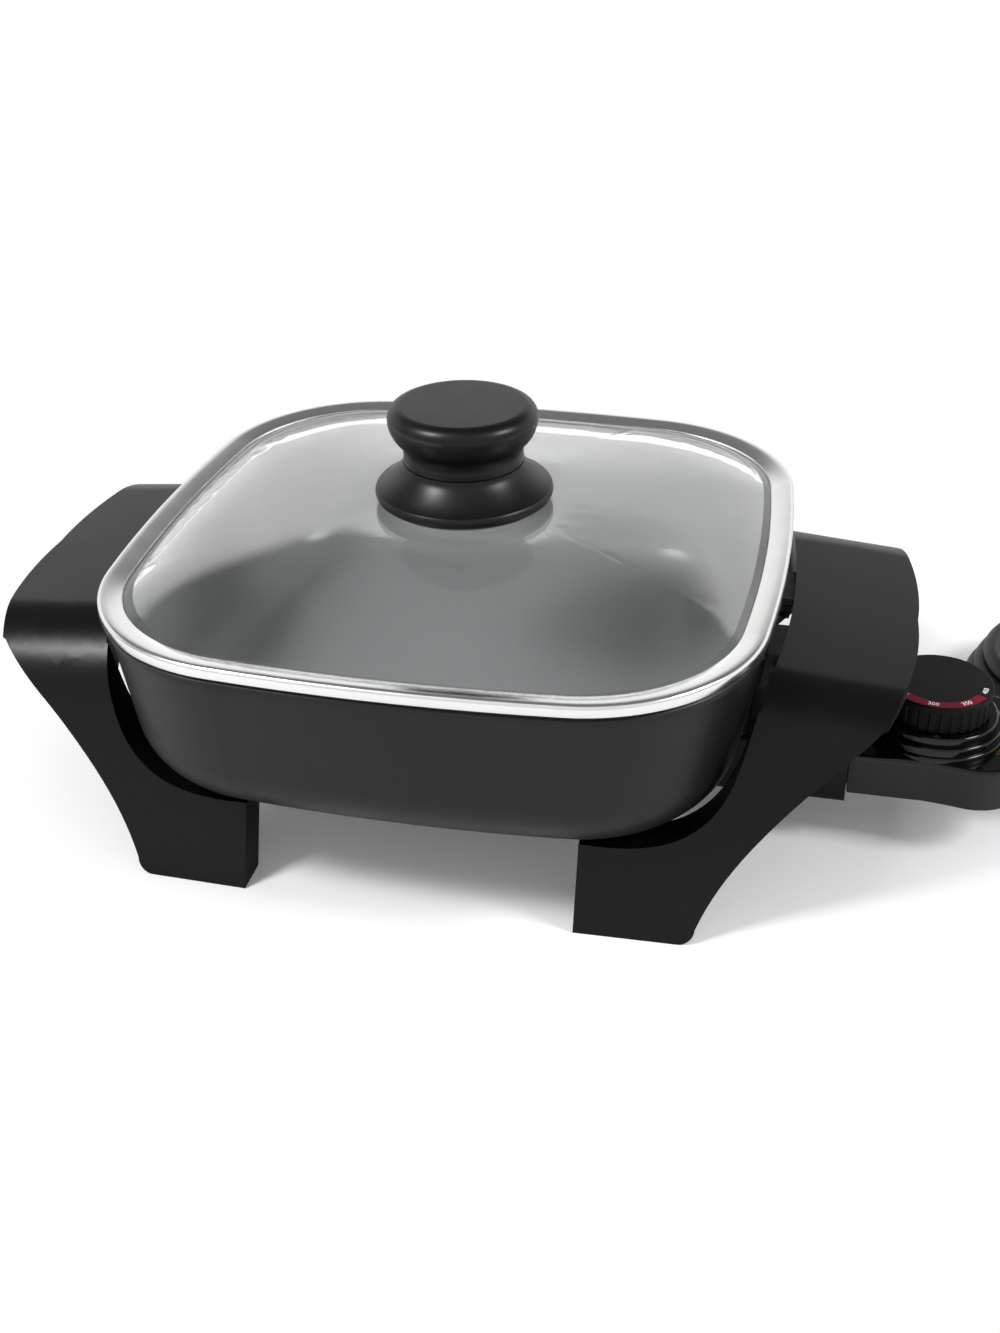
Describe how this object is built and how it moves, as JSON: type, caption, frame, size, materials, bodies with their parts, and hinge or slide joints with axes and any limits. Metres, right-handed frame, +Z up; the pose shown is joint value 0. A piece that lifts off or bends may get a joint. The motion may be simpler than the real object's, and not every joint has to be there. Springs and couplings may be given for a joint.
{
  "type": "electric skillet",
  "caption": "Square countertop electric skillet with domed glass lid, bridge handles that form the legs, and a plug-in dial control with cord.",
  "frame": {"origin": "on the table under the middle of the pan", "axes": "+X towards the side the control plugs into, -Y the front, +Z up"},
  "size_m": [0.4298, 0.295, 0.136],
  "materials": {
    "nonstick_aluminium": "cast aluminium with a dark non-stick coating",
    "element_sheath": "dull heat-tinted sheath",
    "ceramic": "fired steatite, matte",
    "plated_steel": "zinc or nickel plated",
    "satin_black": "satin moulded heat-proof plastic",
    "black_steel": "black coated pressed steel",
    "clear_glass": "clear tempered glass",
    "polished_steel": "polished stainless steel",
    "silicone": "silicone",
    "brass": "plain brass",
    "gloss_black": "glossy moulded plastic",
    "white_print": "printed mark",
    "probe_steel": "stainless tube",
    "bimetal": "bimetal strip",
    "silver_contact": "silver contact",
    "lead_insulation": "glass-sleeved lead",
    "neon_glass": "small neon lamp",
    "resistor": "lacquered resistor",
    "amber_lens": "amber lens",
    "soft_black": "soft moulded plastic",
    "cord_black": "round flexible cord",
    "plug_brass": "plated brass blades",
    "dial_black": "satin moulded dial",
    "red_print": "printed red band",
    "nylon": "moulded cam"
  },
  "bodies": {
    "skillet": {"pan": "nonstick_aluminium", "heating_element": "element_sheath", "terminal_insulators": "ceramic", "terminal_pins": "plated_steel", "handle_right": "satin_black", "handle_left": "satin_black", "straps_right": "black_steel", "straps_left": "black_steel", "stud_washers": "plated_steel", "stud_nuts": "plated_steel", "handle_screws": "plated_steel", "socket_shroud": "satin_black", "shroud_screws": "plated_steel"},
    "lid": {"lid_glass": "clear_glass", "lid_rim": "polished_steel", "knob_base": "satin_black", "knob_cap": "satin_black", "knob_gasket": "silicone", "knob_seal": "silicone", "knob_washer": "plated_steel", "knob_screw": "plated_steel", "knob_insert": "brass"},
    "control": {"control_tray": "satin_black", "control_cover": "gloss_black", "control_screws": "plated_steel", "index_mark": "white_print", "sensor_probe": "probe_steel", "probe_collar": "plated_steel", "socket_contacts": "brass", "thermostat_frame": "plated_steel", "bimetal_blade": "bimetal", "contact_blade": "brass", "contact_buttons": "silver_contact", "follower_pin": "ceramic", "stack_insulators": "ceramic", "stack_screw": "plated_steel", "inner_leads": "lead_insulation", "pilot_lamp": "neon_glass", "lamp_resistor": "resistor", "lamp_lens": "amber_lens", "strain_relief": "soft_black", "cord": "cord_black", "cord_coil": "cord_black", "cord_tail": "cord_black", "plug_body": "soft_black", "plug_blades": "plug_brass"},
    "dial": {"dial_cap": "dial_black", "dial_scale": "red_print", "dial_spindle": "plated_steel", "dial_cam": "nylon", "spindle_clip": "plated_steel"}
  },
  "joints": [
    {"name": "lid_lift", "type": "slide", "parent": "skillet", "child": "lid", "axis": [0, 0, 1], "range_m": [0, 0.15]},
    {"name": "control_pull", "type": "slide", "parent": "skillet", "child": "control", "axis": [1, 0, 0], "range_m": [0, 0.09]},
    {"name": "dial_turn", "type": "hinge", "parent": "control", "child": "dial", "pos_m": [0.16, 0, 0.045], "axis": [0, 0, 1], "range_deg": [0, 270]}
  ]
}
